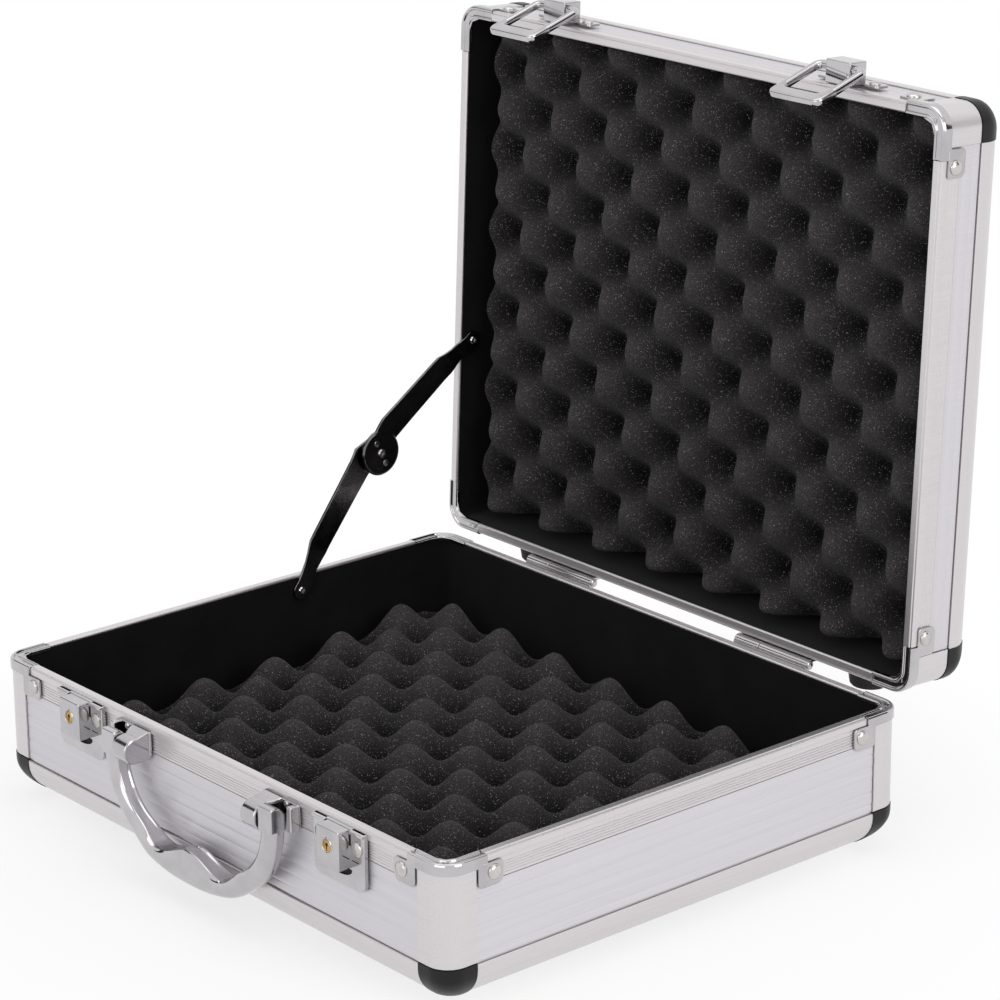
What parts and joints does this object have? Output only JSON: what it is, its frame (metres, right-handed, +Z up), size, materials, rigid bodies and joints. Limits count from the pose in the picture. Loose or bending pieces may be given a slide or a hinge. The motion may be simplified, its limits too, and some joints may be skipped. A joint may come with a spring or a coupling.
{
  "type": "flight case",
  "caption": "Small aluminium-framed flight case with a hinged lid, egg-crate foam, hasp locks, a swinging handle and a folding lid stay.",
  "frame": {"origin": "centre of the underside of the base, on the floor panel", "axes": "+X along the width to the right seen from the handle side, -Y out of the handle side, +Z up"},
  "size_m": [0.3016, 0.3198, 0.3258],
  "materials": {
    "aluminium": "satin anodised",
    "ribbed_panel": "finely ribbed, satin",
    "chrome": "polished",
    "black_steel": "glossy black",
    "brass": "polished",
    "corner_plastic": "smooth black",
    "rubber": "matt black",
    "lining": "black flock",
    "foam": "open-cell charcoal foam"
  },
  "bodies": {
    "base": {"base_back_panel": "ribbed_panel", "base_bottom_panel": "ribbed_panel", "base_corner_cap_back_left": "corner_plastic", "base_corner_cap_back_right": "corner_plastic", "base_corner_cap_front_left": "corner_plastic", "base_corner_cap_front_right": "corner_plastic", "base_corner_post_back_left": "aluminium", "base_corner_post_back_right": "aluminium", "base_corner_post_front_left": "aluminium", "base_corner_post_front_right": "aluminium", "base_edge_frame": "aluminium", "base_foam": "foam", "base_front_panel": "ribbed_panel", "base_left_panel": "ribbed_panel", "base_lining": "lining", "base_right_panel": "ribbed_panel", "base_rim": "aluminium", "base_rim_corner_back_left": "chrome", "base_rim_corner_back_right": "chrome", "base_rim_corner_front_left": "chrome", "base_rim_corner_front_right": "chrome", "handle_bracket_left": "chrome", "handle_bracket_right": "chrome", "hinge_leaf_base_left": "chrome", "hinge_leaf_base_right": "chrome", "lock_body_left": "chrome", "lock_body_right": "chrome"},
    "lid": {"hasp_pin_left": "chrome", "hasp_pin_right": "chrome", "hasp_plate_left": "chrome", "hasp_plate_right": "chrome", "hinge_leaf_lid_left": "chrome", "hinge_leaf_lid_right": "chrome", "lid_corner_cap_back_left": "corner_plastic", "lid_corner_cap_back_right": "corner_plastic", "lid_corner_cap_front_left": "corner_plastic", "lid_corner_cap_front_right": "corner_plastic", "lid_corner_post_back_left": "aluminium", "lid_corner_post_back_right": "aluminium", "lid_corner_post_front_left": "aluminium", "lid_corner_post_front_right": "aluminium", "lid_edge_frame": "aluminium", "lid_foam": "foam", "lid_lining": "lining", "lid_rim": "aluminium", "lid_rim_corner_back_left": "chrome", "lid_rim_corner_back_right": "chrome", "lid_rim_corner_front_left": "chrome", "lid_rim_corner_front_right": "chrome", "lid_side_band": "ribbed_panel", "lid_top_panel": "ribbed_panel", "rubber_foot_left": "rubber", "rubber_foot_right": "rubber"},
    "handle": {"handle": "chrome"},
    "hasp_left": {"hasp_left": "chrome"},
    "hasp_right": {"hasp_right": "chrome"},
    "lock_cylinder_left": {"lock_cylinder_left": "brass"},
    "lock_cylinder_right": {"lock_cylinder_right": "brass"},
    "stay_lower": {"stay_lower_arm": "black_steel"},
    "stay_upper": {"stay_upper_arm": "black_steel"}
  },
  "joints": [
    {"name": "lid_hinge", "type": "hinge", "parent": "base", "child": "lid", "pos_m": [0, 0.1266, 0.0653], "axis": [1, 0, 0], "range_deg": [0, 92.7]},
    {"name": "handle_swing", "type": "hinge", "parent": "base", "child": "handle", "pos_m": [0, -0.132, 0.0554], "axis": [-1, 0, 0], "range_deg": [-1.5, 92]},
    {"name": "lock_turn_left", "type": "hinge", "parent": "base", "child": "lock_cylinder_left", "pos_m": [-0.08834, -0.1317, 0.0562], "axis": [0, 1, 0], "range_deg": [0, 90]},
    {"name": "hasp_swing_left", "type": "hinge", "parent": "lid", "child": "hasp_left", "pos_m": [-0.08834, 0.14323, 0.3224], "axis": [-1, 0, 0], "range_deg": [0, 32]},
    {"name": "lock_turn_right", "type": "hinge", "parent": "base", "child": "lock_cylinder_right", "pos_m": [0.08834, -0.1317, 0.0562], "axis": [0, 1, 0], "range_deg": [0, 90]},
    {"name": "hasp_swing_right", "type": "hinge", "parent": "lid", "child": "hasp_right", "pos_m": [0.08834, 0.14323, 0.3224], "axis": [-1, 0, 0], "range_deg": [0, 32]},
    {"name": "stay_lower_fold", "type": "hinge", "parent": "base", "child": "stay_lower", "pos_m": [-0.1443, 0.034, 0.0575], "axis": [1, 0, 0], "range_deg": [0, 121.8]},
    {"name": "stay_upper_fold", "type": "hinge", "parent": "stay_lower", "child": "stay_upper", "pos_m": [-0.1443, 0.07852, 0.11535], "axis": [1, 0, 0], "range_deg": [-151.2, 0]}
  ],
  "couplings": [
    {"joint": "hasp_swing_left", "follows": "lid_hinge", "ratio": 0.3452},
    {"joint": "hasp_swing_right", "follows": "lid_hinge", "ratio": 0.3452},
    {"joint": "stay_lower_fold", "follows": "lid_hinge", "ratio": 1.3127},
    {"joint": "stay_upper_fold", "follows": "lid_hinge", "ratio": -1.629}
  ]
}
